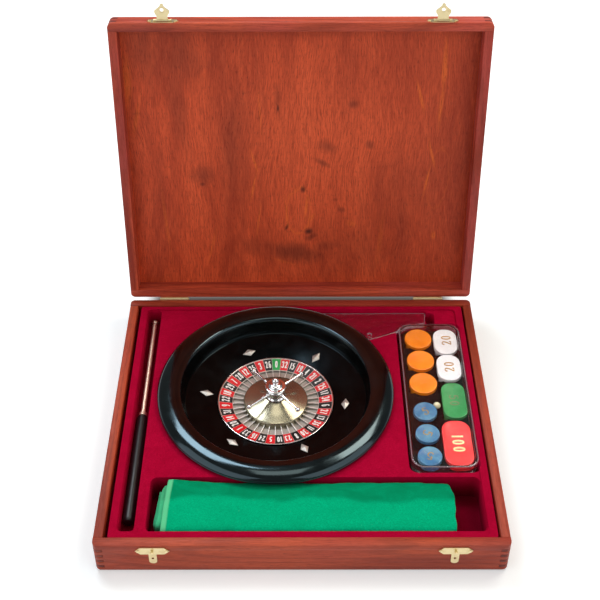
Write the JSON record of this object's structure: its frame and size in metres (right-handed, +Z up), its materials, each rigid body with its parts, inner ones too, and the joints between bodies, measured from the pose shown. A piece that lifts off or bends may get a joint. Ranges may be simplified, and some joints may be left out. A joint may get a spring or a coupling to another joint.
{
  "type": "roulette set case",
  "caption": "Hinged wooden case holding a roulette wheel, rolled cloth, rake, ball and a clear box of chips in a flocked tray.",
  "frame": {"origin": "middle of the underside of the case base", "axes": "+X to the right seen from the front, +Y to the hinges, +Z up"},
  "size_m": [0.388, 0.4047, 0.3899],
  "materials": {
    "case_wood": "satin",
    "lid_wood": "satin",
    "fitting_brass": "polished",
    "tray_flock": "matte",
    "wheel_lacquer": "gloss",
    "wheel_chrome": "polished",
    "spindle_steel": "brushed",
    "rotor_alloy": "satin",
    "bush_brass": "satin",
    "number_enamel": "gloss",
    "pocket_alloy": "polished",
    "handle_plastic": "gloss",
    "rake_chrome": "polished",
    "clear_acrylic": "clear",
    "clear_box": "clear",
    "insert_flock": "matte",
    "chip_orange": "satin",
    "chip_blue": "satin",
    "chip_white": "gloss",
    "chip_green": "gloss",
    "chip_red": "gloss",
    "ball_ivory": "gloss",
    "cloth_felt": "matte"
  },
  "bodies": {
    "case_base": {"base_front_board": "case_wood", "base_back_board": "case_wood", "base_left_board": "case_wood", "base_right_board": "case_wood", "base_bottom_panel": "case_wood", "hinge_leaves_base": "fitting_brass", "hinge_pins": "fitting_brass", "hinge_screws_base": "fitting_brass", "catch_plate_left": "fitting_brass", "catch_plate_right": "fitting_brass", "catch_nails": "fitting_brass", "tray_insert": "tray_flock"},
    "lid": {"lid_front_board": "case_wood", "lid_back_board": "case_wood", "lid_left_board": "case_wood", "lid_right_board": "case_wood", "lid_panel": "lid_wood", "hinge_leaves_lid": "fitting_brass", "hinge_screws_lid": "fitting_brass", "hasp_plate_left": "fitting_brass", "hasp_plate_right": "fitting_brass", "hasp_nails": "fitting_brass", "hasp_pins": "fitting_brass"},
    "left_hasp": {"hasp_leaf_left": "fitting_brass"},
    "right_hasp": {"hasp_leaf_right": "fitting_brass"},
    "wheel": {"wheel_bowl": "wheel_lacquer", "bowl_diamonds": "wheel_chrome", "spindle": "spindle_steel"},
    "rotor": {"rotor_body": "rotor_alloy", "rotor_bush": "bush_brass", "rotor_rim": "wheel_chrome", "number_ring": "number_enamel", "pocket_ring": "pocket_alloy", "rotor_cone": "wheel_chrome", "turret_column": "wheel_chrome", "turret_cap": "wheel_chrome", "turret_finial": "wheel_chrome", "turret_arms": "wheel_chrome"},
    "head": {"rake_head": "clear_acrylic"},
    "rake": {"rake_handle": "handle_plastic", "rake_ferrule": "rake_chrome", "rake_outer_tube": "rake_chrome"},
    "rake_middle": {"rake_middle_tube": "rake_chrome"},
    "rake_tip": {"rake_tip_rod": "rake_chrome"},
    "chip_box": {"chip_box_tub": "clear_box", "chip_insert": "insert_flock", "orange_chips": "chip_orange", "blue_chips": "chip_blue", "white_plaques": "chip_white", "green_plaques": "chip_green", "red_plaques": "chip_red", "roulette_ball": "ball_ivory"},
    "chip_lid": {"chip_box_lid": "clear_box"},
    "cloth": {"game_cloth": "cloth_felt"}
  },
  "joints": [
    {"name": "lid_hinge", "type": "hinge", "parent": "case_base", "child": "lid", "pos_m": [0, 0.1683, 0.04], "axis": [-1, 0, 0], "range_deg": [-97.89, 0]},
    {"name": "left_hasp_hinge", "type": "hinge", "parent": "lid", "child": "left_hasp", "pos_m": [-0.1385, 0.21821, 0.3725], "axis": [-1, 0, 0], "range_deg": [-90, 80]},
    {"name": "right_hasp_hinge", "type": "hinge", "parent": "lid", "child": "right_hasp", "pos_m": [0.1425, 0.21821, 0.3725], "axis": [-1, 0, 0], "range_deg": [-90, 80]},
    {"name": "wheel_lift", "type": "slide", "parent": "case_base", "child": "wheel", "axis": [0, 0, 1], "range_m": [0, 0.12]},
    {"name": "rotor_spin", "type": "hinge", "parent": "wheel", "child": "rotor", "pos_m": [-0.0267, 0.0285, 0.02], "axis": [0, 0, 1], "continuous": true},
    {"name": "rake_head_lift", "type": "slide", "parent": "case_base", "child": "head", "axis": [0, 0, 1], "range_m": [0, 0.06]},
    {"name": "chip_box_lift", "type": "slide", "parent": "case_base", "child": "chip_box", "axis": [0, 0, 1], "range_m": [0, 0.12]},
    {"name": "chip_lid_lift", "type": "slide", "parent": "chip_box", "child": "chip_lid", "axis": [0, 0, 1], "range_m": [0, 0.08]},
    {"name": "rake_lift", "type": "slide", "parent": "case_base", "child": "rake", "axis": [0, -0.6, 0.8], "range_m": [0, 0.28]},
    {"name": "rake_middle_slide", "type": "slide", "parent": "rake", "child": "rake_middle", "axis": [0, 1, 0], "range_m": [0, 0.08]},
    {"name": "rake_tip_slide", "type": "slide", "parent": "rake_middle", "child": "rake_tip", "axis": [0, 1, 0], "range_m": [0, 0.08]},
    {"name": "cloth_lift", "type": "slide", "parent": "case_base", "child": "cloth", "axis": [0, 0, 1], "range_m": [0, 0.06]}
  ],
  "couplings": [
    {"joint": "rake_head_lift", "follows": "wheel_lift", "ratio": 0.45},
    {"joint": "cloth_lift", "follows": "wheel_lift", "ratio": 0.5},
    {"joint": "rake_middle_slide", "follows": "rake_lift", "ratio": 0.28},
    {"joint": "rake_tip_slide", "follows": "rake_lift", "ratio": 0.28}
  ]
}
